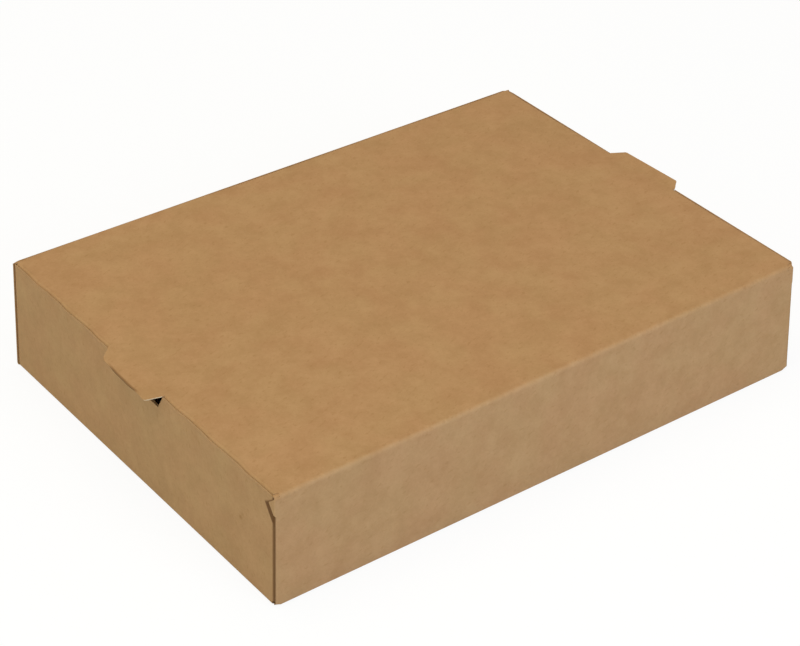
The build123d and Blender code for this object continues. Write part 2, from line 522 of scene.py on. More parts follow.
class Sheet:
    """Gathers grids of points into one folded sheet and gives it the board's thickness."""

    BLANK = "blank"
    WEAR_AND_HIGHLIGHT = "fold_wear_and_highlight"
    PAINTED_SHADE = "painted_shade"
    WELD_WITHIN = 0.005 * MM
    SHARP_DEGREES = 40

    def __init__(self, carton: Carton) -> None:
        """Starts an empty sheet.

        Args:
            carton: Sizes of the box.
        """
        self.carton = carton
        self.points: list[Array] = []
        self.blank: list[Array] = []
        self.wear_and_highlight: list[Array] = []
        self.painted_shade: list[Array] = []
        self.faces: list[Array] = []
        self.count = 0

    def add(self, points: Array, blank: Array, wear_and_highlight: Array = 0.0, painted_shade: Array = 0.0) -> None:
        """Adds a grid, with its faces turned away from the middle of the box.

        Args:
            points: Rows by columns by three coordinates.
            blank: Rows by columns by two coordinates on the flat, unfolded sheet.
            wear_and_highlight: Rows by columns, 1 where the board is painted lighter, as rubbed board
                and partly as painted light, and 0 elsewhere.
            painted_shade: Rows by columns, 1 where shade is painted into the board's colour, in gaps,
                under the lugs and along a tongue's tip, and 0 elsewhere.
        """
        rows, columns = points.shape[:2]
        index = np.arange(rows * columns).reshape(rows, columns)
        quads = np.stack(
            [index[:-1, :-1], index[1:, :-1], index[1:, 1:], index[:-1, 1:]], axis=-1
        )
        down, across = np.diff(points, axis=0)[:, :-1], np.diff(points, axis=1)[:-1]
        outwards = points[:-1, :-1] - np.array([0.0, 0.0, self.carton.height / 2])
        if np.sum(np.cross(down, across) * outwards) < 0:
            quads = quads[..., ::-1]
        self.points.append(points.reshape(-1, 3))
        self.blank.append(np.broadcast_to(blank, (rows, columns, 2)).reshape(-1, 2))
        self.wear_and_highlight.append(np.broadcast_to(wear_and_highlight, (rows, columns)).reshape(-1))
        self.painted_shade.append(np.broadcast_to(painted_shade, (rows, columns)).reshape(-1))
        self.faces.append(quads.reshape(-1, 4) + self.count)
        self.count += rows * columns

    def build(self, name: str, settle: Callable[[Array], Array],
              finishes: Sequence[bpy.types.Material]) -> bpy.types.Object:
        """Welds the grids, thickens the sheet and makes it an object.

        Args:
            name: The piece's name.
            settle: Moves all points at once, from flat panels to the real sheet.
            finishes: Materials in the order of BoardFace.

        Returns:
            The piece, with its place in its mesh.
        """
        faces = np.concatenate(self.faces)
        mesh = bpy.data.meshes.new(name)
        mesh.from_pydata(settle(np.concatenate(self.points)), [], faces)
        layer = mesh.uv_layers.new(name=self.BLANK)
        layer.data.foreach_set("uv", np.concatenate(self.blank)[faces.ravel()].ravel())
        for label, values in ((self.WEAR_AND_HIGHLIGHT, self.wear_and_highlight), (self.PAINTED_SHADE, self.painted_shade)):
            layer = mesh.attributes.new(label, "FLOAT", "POINT")
            layer.data.foreach_set("value", np.concatenate(values).astype(np.float32))
        self.weld(mesh)
        piece = bpy.data.objects.new(name, mesh)
        bpy.context.scene.collection.objects.link(piece)
        for finish in finishes:
            mesh.materials.append(finish)
        self.thicken(piece)
        return piece

    def weld(self, mesh: bpy.types.Mesh) -> None:
        """Merges the points that neighbouring grids share.

        Args:
            mesh: The sheet's mesh.
        """
        work = bmesh.new()
        work.from_mesh(mesh)
        bmesh.ops.remove_doubles(work, verts=work.verts, dist=self.WELD_WITHIN)
        work.to_mesh(mesh)
        work.free()

    def thicken(self, piece: bpy.types.Object) -> None:
        """Gives the sheet its thickness, half to each side, with cut edges all round.

        Args:
            piece: The sheet's object.
        """
        solid = piece.modifiers.new("board", "SOLIDIFY")
        solid.thickness = self.carton.board
        solid.offset = 0.0
        solid.use_even_offset = True
        solid.use_quality_normals = True
        solid.material_offset = BoardFace.INSIDE
        solid.material_offset_rim = BoardFace.CUT_EDGE
        graph = bpy.context.evaluated_depsgraph_get()
        thick = bpy.data.meshes.new_from_object(
            piece.evaluated_get(graph), preserve_all_data_layers=True, depsgraph=graph
        )
        piece.modifiers.clear()
        piece.data = thick
        thick.name = piece.name
        thick.shade_smooth()
        thick.set_sharp_from_angle(angle=math.radians(self.SHARP_DEGREES))


@dataclass
class Tray:
    """The tray: bottom, hinge wall, front wall, end walls, glue flaps, shoulders and lugs."""

    carton: Carton
    glue_flap_reach: float = 22.0 * MM
    glue_flap_taper: float = 5.0 * MM
    glue_flap_foot: float = 1.6 * MM
    glue_flap_drop: float = 1.0 * MM
    lug_reach: float = 3.5 * MM
    lug_height: float = 8.2 * MM
    lug_tip_share: float = 0.38
    lug_below_top: float = 0.9 * MM
    lug_blunt: float = 0.06
    lug_gap: float = 0.1 * MM
    lug_step: float = 0.6 * MM
    lug_shadow_width: float = 4.2 * MM
    lug_shadow_edge: Span = (-0.5 * MM, 0.7 * MM)
    lug_shadow_end: float = 1.0 * MM
    roll_radius: float = 1.5 * MM
    roll_step: float = 0.05 * MM
    shoulder_reach: float = 2.1 * MM
    flap_step: float = 0.3 * MM
    fine: float = 0.5 * MM
    # How pale the end walls' top edges are: paler cut fibres, plus painted light over the shadow in
    # the gap under the lid.
    top_edge_pale_and_lit: float = 0.68
    # Strengths of painted shade: along the hinge wall's raw end edge and in the hinge and front
    # corners' grooves.
    raw_edge_shade: float = 0.6
    hinge_corner_shade: float = 0.85
    front_corner_shade: float = 0.1

    def __post_init__(self) -> None:
        """Starts the sheet and works out the places that neighbouring grids share."""
        c = self.carton
        self.sheet = Sheet(c)
        self.flat_y = c.half_width - c.board - c.corner_radius
        self.flat_x = c.half_length - c.fold_radius
        self.lug_top = c.height - self.lug_below_top
        self.lug_foot = self.lug_top - self.lug_height
        self.lug_tip = self.lug_top - self.lug_tip_share * self.lug_height
        below = self.lug_foot - self.lug_shadow_width
        low = stations([c.fold_radius, self.glue_flap_foot, below], c.step)
        high = [below, self.lug_foot, self.lug_tip, c.hinge_z, self.lug_top, c.wall_top]
        self.levels = np.concatenate([low[:-1], stations(high, self.fine)])
        notch_top = float(c.opening_half(c.wall_top, c.notch_side_gap))
        notch_foot = c.tongue_tip_half + c.notch_side_gap
        coarse = [c.half_width - self.lug_reach - self.lug_shadow_width, notch_top, notch_foot]
        middle = stations([-y for y in coarse] + coarse[::-1], c.step)
        beside = stations([self.flat_y, coarse[0]], self.fine)
        self.end_marks = np.concatenate([-beside[:-1], middle, beside[-2::-1]])

    def cradle(self) -> None:
        """Hinge wall, bottom and front wall: a U-shaped profile carried along X.

        Across each row the places are shares of its half length, which is a fold's radius
        shorter over the bottom than over the walls, so that the end walls can fold up there.
        """
        c = self.carton
        side, flat = c.half_width - c.half_board, c.half_width - c.fold_radius
        low, r = c.fold_radius, c.fold_middle
        hinge = self.levels[self.levels <= c.hinge_z + TINY]
        bottom = stations([-flat, *self.end_marks[[0]]], c.step)[:-1]
        bottom = np.concatenate([bottom, self.end_marks, -bottom[::-1]])
        profile = Profile.join(
            Profile.straight((-side, 0), (-side, 1), hinge[::-1]),
            Profile.fold((-flat, low), r, 180, 270),
            Profile.straight((0, c.half_board), (1, c.half_board), bottom),
            Profile.fold((flat, low), r, 270, 360),
            Profile.straight((side, 0), (side, 1), self.levels),
        )
        y, z = profile.points[:, :1], profile.points[:, 1:]
        wide = np.clip((np.abs(y) - self.flat_y) / (flat - self.flat_y), 0.0, 1.0)
        half = self.flat_x + (c.half_length - self.flat_x) * wide
        marks = [c.half_length, c.half_length - c.edge_strip, c.shoulder_start]
        across = stations([-m for m in marks] + marks[::-1], c.step) / c.half_length
        x = half * across
        along = profile.lengths()[:, None] - profile.lengths()[-1] / 2
        middle = along[np.argmin(np.where(z > low, np.inf, np.abs(y)))]
        # Painted shade in the hinge corners' groove, along the hinge wall's raw end edge below the
        # lugs.
        raw = (np.abs(across) > 1 - TINY) & (y < 0) & (z < self.lug_foot)
        self.sheet.add(grid(x, y, z), grid(x, along - middle), 0.0, self.raw_edge_shade * raw)

    def rolled_in(self, z: Array) -> Array:
        """How far the shoulder has rolled inwards at a height, by the root formula of a circle."""
        up = np.clip(z - self.carton.hinge_z, 0.0, self.roll_radius)
        return self.roll_radius - np.sqrt(self.roll_radius**2 - up * up)

    def shoulder(self, end: End) -> None:
        """Corner beside the crease, which stays with the hinge wall and rolls in under the lid.

        Args:
            end: The end that it is at.
        """
        c = self.carton
        top = c.hinge_z + self.roll_radius
        short = top - self.roll_step
        inside = (self.levels >= c.hinge_z - TINY) & (self.levels < short)
        z = np.array([*self.levels[inside], short, top, top])
        y = -c.half_width + c.half_board + self.rolled_in(z)
        y[-1] = -c.half_width + self.shoulder_reach
        x = end * stations([c.shoulder_start, c.half_length - c.edge_strip, c.half_length], c.step)
        steps = np.concatenate([[0.0], np.hypot(np.diff(y), np.diff(z))])
        along = -c.half_width - c.hinge_z - np.cumsum(steps)
        self.sheet.add(grid(x, y[:, None], z[:, None]), grid(x, along[:, None]))

    def end_wall(self, end: End) -> None:
        """End wall with its bottom fold: an L-shaped profile carried along Y.

        Above the glue flaps' foot each column is stretched evenly to the wall's top there,
        which drops into the notch between its slanted sides.

        Args:
            end: The end that it is at.
        """
        c = self.carton
        out = c.half_length - c.half_board
        profile = Profile.join(
            Profile.fold((self.flat_x, c.fold_radius), c.fold_middle, 270, 360),
            Profile.straight((out, 0), (out, 1), self.levels),
        )
        x, z = profile.points[:, :1], profile.points[:, 1:]
        y, foot = self.end_marks, self.glue_flap_foot
        up = np.clip((z - foot) / (c.wall_top - foot), 0.0, 1.0)
        z = z - up * (c.wall_top - self.top_of_wall(y))
        points = grid(end * x, y, z)
        along = self.flat_x + c.fold_length + np.clip(z - c.fold_radius, 0, None)
        along = along - np.clip(1 - z / c.fold_radius, 0, 1) * c.fold_length
        # The top edge is paler for its cut fibres, and painted lighter still to lighten the shadow in
        # the gap under the lid's end fold.
        at_top = np.arange(len(x)) == len(x) - 1
        wear_and_highlight = self.top_edge_pale_and_lit * at_top[:, None]
        # The end wall carries the painted shadow under the lug.
        self.sheet.add(points, grid(end * along, y), wear_and_highlight, self.lug_shadow(points))

    def lug_shadow(self, points: Array) -> Array:
        """Painted shadow on the end wall along a lug's lower edge, in place of the shade of a gap
        there.

        The distance from the edge's line is measured square to it. The painted shadow lies below that
        line and ends past the lug's point, and both ends of it fade by an S-curve.

        Args:
            points: Rows by columns by three coordinates.

        Returns:
            How dark each point is, from 0 to 1.
        """
        edge = np.array([self.lug_reach, self.lug_tip - self.lug_foot])
        length = float(np.linalg.norm(edge))
        edge = edge / length
        y, z = points[..., 1] + self.carton.half_width, points[..., 2] - self.lug_foot
        away, along = y * edge[1] - z * edge[0], y * edge[0] + z * edge[1]
        band = 1.0 - rise(away - self.lug_shadow_width, *self.lug_shadow_edge)
        return band * (1.0 - rise(along, length, self.lug_shadow_end))

    def top_of_wall(self, y: Array) -> Array:
        """Height of an end wall's top edge: it falls evenly down the notch's two sides.

        Args:
            y: Places along the wall.

        Returns:
            The height at each place.
        """
        c = self.carton
        half_top = c.opening_half(c.wall_top, c.notch_side_gap)
        half_foot = c.tongue_tip_half + c.notch_side_gap
        share = np.clip((np.abs(y) - half_foot) / (half_top - half_foot), 0.0, 1.0)
        return c.sill_z + (c.wall_top - c.sill_z) * share

    def glue_flap(self, end: End, side: Side) -> None:
        """Upright fold and glue flap: a hooked profile in plan, with rows stretched evenly
        between its slanted foot and its slanted top.

        Args:
            end: The end wall that it folds from.
            side: The wall that it is glued to.
        """
        c = self.carton
        inner = c.corner_radius - c.half_board
        fold_x, tip_x = c.half_length - c.corner_radius, c.half_length - self.glue_flap_reach
        flap_y = c.half_width - c.board - c.half_board
        down = c.shoulder_start - self.flap_step
        marks = stations([fold_x, c.shoulder_start, down, tip_x], c.step)
        profile = Profile.join(
            Profile.fold((fold_x, self.flat_y), inner, 0, 90),
            Profile.straight((0, flap_y), (1, flap_y), marks),
        )
        x, y = profile.points.T
        share = np.clip((fold_x - x) / (fold_x - tip_x), 0.0, 1.0)
        foot = self.glue_flap_foot + self.glue_flap_taper * share
        top = c.hinge_z - self.glue_flap_drop - self.glue_flap_taper * share
        top = np.where(x > down + self.flap_step / 2, c.wall_top, top)
        level = self.levels[self.levels >= self.glue_flap_foot - TINY]
        up = (level - level[0]) / (level[-1] - level[0])
        z = foot + up[:, None] * (top - foot)
        points = grid(end * x, side * y, z)
        out = end * (self.flat_x + c.fold_length + z - c.fold_radius)
        along = side * (self.flat_y + profile.lengths())
        # Painted shade along the upright fold, strong at the hinge corners and faint at the front
        # ones, with the painted shadow under the lug added.
        shade = self.hinge_corner_shade if side is Side.HINGE else self.front_corner_shade
        painted_dark = shade * rise(profile.lengths(), 0.0, inner / 2)
        self.sheet.add(points, grid(out, along), 0.0, np.maximum(painted_dark, self.lug_shadow(points)))

    def lug(self, end: End) -> None:
        """Lug that wraps round a hinge corner: a hooked profile in plan whose rows draw
        together evenly towards its blunt point.

        Args:
            end: The end wall that it lies on.
        """
        c = self.carton
        wrap = self.lug_gap + c.half_board
        side = -c.half_width + c.half_board + wrap
        out, reach = c.half_length + wrap, -c.half_width + self.lug_reach
        marks = np.linspace(0, 1, math.ceil((reach - side) / self.lug_step) + 1)
        profile = Profile.join(
            Profile.fold((c.half_length, side), wrap, 270, 360),
            Profile.straight((out, side), (out, reach), marks),
        )
        inside = (self.levels >= self.lug_foot - TINY) & (self.levels <= self.lug_top + TINY)
        level = self.levels[inside][:, None]
        share = profile.lengths() / profile.lengths()[-1]
        z = self.lug_tip + (level - self.lug_tip) * (1 - (1 - self.lug_blunt) * share)
        x, y = profile.points.T
        away = end * (c.half_length + profile.lengths())
        self.sheet.add(grid(end * x, y + self.rolled_in(z), z), grid(away, -c.half_width - z))

    def build(self, finishes: Sequence[bpy.types.Material], settling: Settling) -> bpy.types.Object:
        """Builds the tray's sheet and puts it in the place of the tray's solid.

        Args:
            finishes: Materials in the order of BoardFace.
            settling: Moves the sheet from flat panels to the real one.

        Returns:
            The piece.
        """
        self.cradle()
        for end in End:
            self.shoulder(end)
            self.end_wall(end)
            self.glue_flap(end, Side.HINGE)
            self.glue_flap(end, Side.FRONT)
            self.lug(end)
        piece = self.sheet.build("folded_tray", settling.tray, finishes)
        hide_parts("tray")
        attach(piece, "tray")
        return piece


@dataclass(frozen=True)
class TongueShape:
    """How one tongue lies.

    Args:
        end: The end that it stands out from.
        droops: Degrees that it droops at its hinge side, a quarter across and at its front.
        front_cut: How much narrower its tip is on the front side.
        front_short: How much shorter it is on the front side.
        front_round: Radius of its tip's corner on the front side.
        edge_shadow: How dark the painted shadow along the middle of its tip's edge is, from 0 to 1.
    """

    end: End
    droops: Triple
    front_cut: float
    front_short: float
    front_round: float
    edge_shadow: float


@dataclass
class Lid:
    """The lid: crease, top panel, front flap, end flaps and tongues.

    Each Span is where an S-curve starts and how far on it ends.
    """

    carton: Carton
    corner_cut_y: float = 2.3 * MM
    front_flap_depth: float = 28.0 * MM
    front_flap_lean: float = 4.0
    front_flap_inset: float = 2.0 * MM
    front_flap_side_taper: float = 3.0 * MM
    front_flap_round: float = 9.0 * MM
    front_turn_share: float = 0.7
    flap_snip: float = 0.25 * MM
    end_flap_depth: float = 32.0 * MM
    end_flap_hinge_inset: float = 2.8 * MM
    end_flap_hinge_slant: float = 14.2 * MM
    end_flap_front_inset: float = 1.6 * MM
    end_flap_front_slant: float = 10.4 * MM
    end_flap_round: float = 6.0 * MM
    tongue_length: float = 7.3 * MM
    tongue_tip_round: float = 0.8 * MM
    tongue_bend: float = 3.0 * MM
    tongue_step: float = 0.8 * MM
    tongue_least_step: float = 0.01 * MM
    droop_marks: Triple = (0.0, 0.22, 1.0)
    tip_shadow_depth: Span = (0.3 * MM, 1.0 * MM)
    tip_shadow_hinge: Span = (0.1, 0.15)
    tip_shadow_front: Span = (-0.95, 0.2)
    rub_and_highlight_loss: float = 0.8
    rub_and_highlight_fade: Span = (30.0 * MM, 80.0 * MM)
    tongues: tuple[TongueShape, ...] = (
        TongueShape(End.LEFT, (13.0, 5.0, 5.0), 1.8 * MM, 0.5 * MM, 2.4 * MM, 0.7),
        TongueShape(End.RIGHT, (-5.0, -4.5, -3.0), 0.0, 1.2 * MM, 0.8 * MM, 0.0),
    )

    def __post_init__(self) -> None:
        """Starts the sheet and works out the places that neighbouring grids share."""
        c = self.carton
        self.sheet = Sheet(c)
        self.crease_y = -c.half_width + c.crease_radius
        lean = math.radians(90 + self.front_flap_lean)
        self.panel_front = c.lid_front - c.half_board - c.fold_middle * math.tan(lean / 2)
        self.flap_hinge = -c.half_width + self.end_flap_hinge_inset
        self.flap_front = c.lid_front - self.end_flap_front_inset
        self.front_foot = c.height - self.front_flap_depth - c.board
        self.end_foot = c.height - self.end_flap_depth
        self.end_top = c.height - c.end_fold_radius
        self.start = [
            self.crease_y,
            -c.half_width + self.corner_cut_y,
            self.flap_hinge - self.flap_snip,
        ]
        self.end = self.flap_front + self.flap_snip
        ease, root = round_marks(self.end_flap_round, 6), c.tongue_root_half
        marks = [*self.start, *(self.flap_hinge + ease), -root, -root + c.edge_strip, root]
        marks = [*marks, *(self.flap_front - ease[::-1]), self.end, self.panel_front]
        self.panel_marks = stations(marks, c.step)

    def marks_between(self, low: float, high: float) -> Array:
        """The panel's shared places along Y from low to high."""
        y = self.panel_marks
        return y[(y >= low - TINY) & (y <= high + TINY)]

    def blank_y(self, lengths: Array) -> Array:
        """Place on the flat sheet of the crease, panel and front flap, from their lengths."""
        c = self.carton
        return -(c.half_width - c.fold_radius) - (c.hinge_z - c.fold_radius + c.fold_length) - lengths

    def half_across(self, y: Array, z: Array) -> Array:
        """Half width of each row of the crease, panel and front flap.

        The crease is straight, the panel widens over its cut corners, steps in to where the
        end flaps fold, narrows round the front fold, and the flap narrows evenly down to its
        rounded foot.

        Args:
            y: The rows' places along Y.
            z: The rows' heights.

        Returns:
            One half width for each row.
        """
        c = self.carton
        outer, flat = c.lid_flat_half + c.end_fold_radius, c.lid_flat_half
        places = [*self.start, self.flap_hinge, self.flap_front, self.end]
        half = np.interp(y, places, [c.crease_half, outer, outer, flat, flat, outer])
        root, bend = outer - self.front_flap_inset, c.height - c.fold_radius
        turned = np.clip((c.lid_z - z) / (c.fold_middle * self.front_turn_share), 0.0, 1.0)
        down = np.clip((bend - z) / (bend - self.front_foot), 0, 1)
        narrow = self.front_flap_side_taper * down
        narrow = narrow + round_off(np.clip(z - self.front_foot, 0, None), self.front_flap_round)
        on_fold = y > self.panel_front + TINY
        half = np.where(on_fold, outer + (root - outer) * turned, half)
        return np.where((y > 0) & (z < bend), root - narrow, half)

    def crown(self) -> None:
        """Crease, panel and front flap: one profile carried along X between its half widths.

        The crease is painted lighter, partly as rubbed board and partly as a painted highlight, less
        so towards its right end.
        """
        c = self.carton
        lean = math.radians(self.front_flap_lean)
        r, z = c.fold_middle, c.lid_z
        turned = np.array([self.panel_front, z - r])
        leaving = turned + r * np.array([math.cos(lean), -math.sin(lean)])
        depth = (leaving[1] - self.front_foot) / math.cos(lean)
        end = leaving + depth * np.array([-math.sin(lean), -math.cos(lean)])
        ease = depth - round_marks(self.front_flap_round, 8)[::-1]
        down = stations([0.0, c.fold_strip, *ease], c.step) / depth
        crease = (self.crease_y, c.hinge_z)
        profile = Profile.join(
            # The crease is lightened, partly as rubbed board and partly as a painted highlight.
            Profile.fold(crease, c.crease_radius - c.half_board, 180, 90, 14, rub_and_highlight=1.0),
            Profile.straight((0, z), (1, z), self.panel_marks),
            Profile.fold(turned, r, 90, -self.front_flap_lean),
            Profile.straight(leaving, end, down),
        )
        y, z = profile.points.T
        edge = c.lid_flat_half - c.fold_strip
        across = stations([-c.lid_flat_half, -edge, edge, c.lid_flat_half], c.step)
        x = self.half_across(y, z)[:, None] * (across / c.lid_flat_half)
        blank = grid(x, self.blank_y(profile.lengths())[:, None])
        # The crease's lightening, partly a painted highlight, fades towards the right end.
        wear_and_highlight = profile.wear_and_highlight[:, None] * (1 - self.rub_and_highlight_loss * rise(x, *self.rub_and_highlight_fade))
        self.sheet.add(grid(x, y[:, None], z[:, None]), blank, wear_and_highlight)

    def side_edge(self, side: Side, z: Array) -> Array:
        """An end flap's upright edge: it slants in evenly downwards.

        Args:
            side: Which of the flap's two edges.
            z: Heights.

        Returns:
            The edge's place along Y at each height.
        """
        down = np.clip((self.end_top - z) / (self.end_top - self.end_foot), 0, 1)
        if side is Side.HINGE:
            return self.flap_hinge + self.end_flap_hinge_slant * down
        return self.flap_front - self.end_flap_front_slant * down

    def flap_profile(self) -> Profile:
        """Section of an end flap: the fold at the panel's end, then straight down."""
        c = self.carton
        x = c.lid_flat_half + c.end_fold_middle
        down = stations([self.end_top, c.sill_z, self.end_foot], c.step)
        return Profile.join(
            Profile.fold((c.lid_flat_half, self.end_top), c.end_fold_middle, 90, 0),
            Profile.straight((x, 0), (x, 1), down),
        )

    def end_flap_cheek(self, end: End, side: Side) -> None:
        """The part of an end flap on one side of its opening.

        Each row runs evenly from the flap's slanted edge to the opening's slanted edge, and
        below the opening each column is stretched to the flap's foot, rounded at its corner.

        Args:
            end: The end that the flap is at.
            side: The side of the opening.
        """
        c = self.carton
        profile = self.flap_profile()
        x, z = profile.points[:, :1], profile.points[:, 1:]
        root = side * c.tongue_root_half
        edge = self.flap_hinge if side is Side.HINGE else self.flap_front
        share = (self.marks_between(*sorted((edge, root))) - edge) / (root - edge)
        lift = round_off(share * abs(root - edge), self.end_flap_round)
        low = np.clip((c.sill_z - z) / (c.sill_z - self.end_foot), 0.0, 1.0)
        inner = side * np.minimum(c.opening_half(z, 0.0), c.tongue_root_half)
        z = z + low * lift
        outer = self.side_edge(side, z)
        self.add_flap(grid(end * x, outer + share * (inner - outer), z), end)

    def end_flap_middle(self, end: End) -> None:
        """The part of an end flap below its opening, between the two cheeks.

        Args:
            end: The end that the flap is at.
        """
        c = self.carton
        profile = self.flap_profile()
        x, z = profile.points[profile.points[:, 1] < c.sill_z + TINY].T
        y = stations([-c.tongue_tip_half, c.tongue_tip_half], c.step)
        self.add_flap(grid(end * x[:, None], y, z[:, None]), end)

    def add_flap(self, points: Array, end: End) -> None:
        """Adds a grid of an end flap, with its place on the flat sheet.

        Args:
            points: Rows by columns by three coordinates.
            end: The end that the flap is at.
        """
        c = self.carton
        below = np.clip(self.end_top - points[..., 2], 0, None)
        over = np.clip((points[..., 2] - self.end_top) / c.end_fold_middle, 0, 1)
        out = c.lid_flat_half + c.end_fold_middle * math.pi / 2 * (1 - over) + below
        along = self.blank_y(c.crease_length + points[..., 1] - self.crease_y)
        self.sheet.add(points, grid(end * out, along))

    def tongue(self, shape: TongueShape) -> None:
        """Tongue that stays in the lid's plane and bends a little beyond the end wall.

        Its line's slope grows as an S-curve to the droop over its bend, and its place is the
        running sum of the steps. Its two sides narrow evenly from the panel's end to the
        tip, whose corners are rounded. Droop, reach and tip change across it.

        Args:
            shape: How it lies.
        """
        c = self.carton
        reach = self.tongue_length + c.end_fold_radius
        ease = reach - round_marks(self.tongue_tip_round, 5)[::-1]
        slow = reach - round_marks(shape.front_round, 6)[::-1]
        row = stations([0.0, c.end_fold_radius, *np.union1d(ease, slow)], self.tongue_step)
        row = row[np.concatenate([[True], np.diff(row) > self.tongue_least_step])]
        row[-1] = reach
        row = row[:, None]
        marks = self.marks_between(-c.tongue_root_half, c.tongue_root_half)
        front = (marks / c.tongue_root_half + 1) / 2
        along = row * (1 - shape.front_short / reach * front)
        droop = np.radians(np.interp(front, self.droop_marks, shape.droops))
        slope = droop * rise(along, 0.0, self.tongue_bend)
        steps, middle = np.diff(along, axis=0), (slope[1:] + slope[:-1]) / 2
        start = np.zeros((1, len(marks)))
        x = np.concatenate([start, np.cumsum(steps * np.cos(middle), axis=0)]) + c.lid_flat_half
        z = c.lid_z - np.concatenate([start, np.cumsum(steps * np.sin(middle), axis=0)])
        taper = np.clip((row - c.end_fold_radius) / self.tongue_length, 0, 1)
        root, tip = c.tongue_root_half, c.tongue_tip_half
        hinge_half = root + (tip - root) * taper - round_off(reach - row, self.tongue_tip_round)
        front_half = root + (tip - shape.front_cut - root) * taper
        front_half = front_half - round_off(reach - row, shape.front_round)
        y = front_half * front - hinge_half * (1 - front)
        down = self.blank_y(c.crease_length + y - self.crease_y)
        blank = grid(shape.end * (c.lid_flat_half + along), down)
        pale = (front < TINY) & (row > c.end_fold_radius)
        # Painted shadow along the middle of the tip's edge, where the tongue stands out over the end
        # wall.
        tip_shadow = 1.0 - rise(reach - row, *self.tip_shadow_depth)
        tip_shadow = tip_shadow * rise(front, *self.tip_shadow_hinge) * rise(-front, *self.tip_shadow_front)
        self.sheet.add(grid(shape.end * x, y, z), blank, pale, shape.edge_shadow * tip_shadow)

    def build(self, finishes: Sequence[bpy.types.Material], settling: Settling) -> bpy.types.Object:
        """Builds the lid's sheet, crease included.

        Args:
            finishes: Materials in the order of BoardFace.
            settling: Moves the sheet from flat panels to the real one.

        Returns:
            The piece.
        """
        self.crown()
        for shape in self.tongues:
            self.end_flap_cheek(shape.end, Side.HINGE)
            self.end_flap_cheek(shape.end, Side.FRONT)
            self.end_flap_middle(shape.end)
            self.tongue(shape)
        piece = self.sheet.build("tuck_in_lid", settling.lid, finishes)
        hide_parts("lid")
        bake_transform(piece)
        return piece


class NodeChain:
    """Adds shader nodes to a material or a world and links them by short calls."""

    SEEN_BY = ("Is Camera Ray", "Is Glossy Ray", "Is Transmission Ray")

    def __init__(self, owner: bpy.types.ID, output: str = "ShaderNodeOutputMaterial") -> None:
        """Clears the owner's nodes and gives it an output.

        Args:
            owner: A material or a world.
            output: The kind of its output node.
        """
        owner.use_nodes = True
        self.tree = owner.node_tree
        self.tree.nodes.clear()
        self.output = self.add(output)

    def add(self, kind: str, **values: str) -> bpy.types.Node:
        """Adds a node.

        Args:
            kind: The node's type.
            values: Properties of the node that are set, by name.

        Returns:
            The node.
        """
        node = self.tree.nodes.new(kind)
        for name, value in values.items():
            setattr(node, name, value)
        return node

    def put(self, value: Socket | float | Triple, socket: Socket) -> None:
        """Feeds an input.

        Args:
            value: A socket to link it to, or a number, place or colour to set it to.
            socket: The input.
        """
        if isinstance(value, Socket):
            self.tree.links.new(value, socket)
        else:
            socket.default_value = (*value, 1.0) if socket.type == "RGBA" else value

    def feed(self, node: bpy.types.Node, inputs: dict[str | int, Socket | float | Triple],
             output: str | int = 0) -> Socket:
        """Feeds a node's inputs and takes one of its outputs.

        Args:
            node: The node.
            inputs: What goes into it, by the input's name or number.
            output: The output's name or number.

        Returns:
            That output.
        """
        for key, value in inputs.items():
            self.put(value, node.inputs[key])
        return node.outputs[output]

    def noise(self, vector: Socket, scale: float, detail: float, rough: float) -> Socket:
        """Noise from 0 to 1 on a vector, with this many waves to the metre."""
        inputs = {"Vector": vector, "Scale": scale, "Detail": detail, "Roughness": rough}
        return self.feed(self.add("ShaderNodeTexNoise"), inputs, "Fac")

    def turned(self, vector: Socket, degrees: float, stretch: Triple) -> Socket:
        """A vector turned about Z and then stretched along its axes.

        Args:
            vector: The vector.
            degrees: How far it is turned.
            stretch: What each axis is multiplied by.

        Returns:
            The new vector.
        """
        turn = {"Vector": vector, "Rotation": (0.0, 0.0, math.radians(degrees))}
        turned = self.feed(self.add("ShaderNodeMapping"), turn)
        return self.feed(self.add("ShaderNodeMapping"), {"Vector": turned, "Scale": stretch})

    def ranged(self, value: Socket, low: float, high: float,
               to_low: float = 0.0, to_high: float = 1.0) -> Socket:
        """Maps one range to another as an S-curve, cut off at both ends.

        Args:
            value: The value to map.
            low: Where the curve starts.
            high: Where it ends.
            to_low: What low becomes.
            to_high: What high becomes.

        Returns:
            The mapped value.
        """
        node = self.add("ShaderNodeMapRange", interpolation_type="SMOOTHSTEP")
        inputs = {"Value": value, "From Min": low, "From Max": high}
        return self.feed(node, inputs | {"To Min": to_low, "To Max": to_high}, "Result")

    def math(self, kind: str, first: Socket | float, second: Socket | float) -> Socket:
        """Arithmetic on two sockets or numbers."""
        return self.feed(self.add("ShaderNodeMath", operation=kind), {0: first, 1: second})

    def mix(self, share: Socket | float, first: Socket | Triple, second: Socket | Triple) -> Socket:
        """Mixes two colours, from all of the first at share 0 to all of the second at 1."""
        node = self.add("ShaderNodeMix", data_type="RGBA")
        return self.feed(node, {0: share, 6: first, 7: second}, 2)

    def seen(self) -> Socket:
        """1 for rays from the camera, off a glossy surface or through a clear one, else 0."""
        path = self.add("ShaderNodeLightPath")
        first, second, third = (path.outputs[kind] for kind in self.SEEN_BY)
        return self.math("MAXIMUM", self.math("MAXIMUM", first, second), third)

    def finish(self, shader: Socket) -> None:
        """Joins the last shader to the output."""
        self.put(shader, self.output.inputs["Surface"])


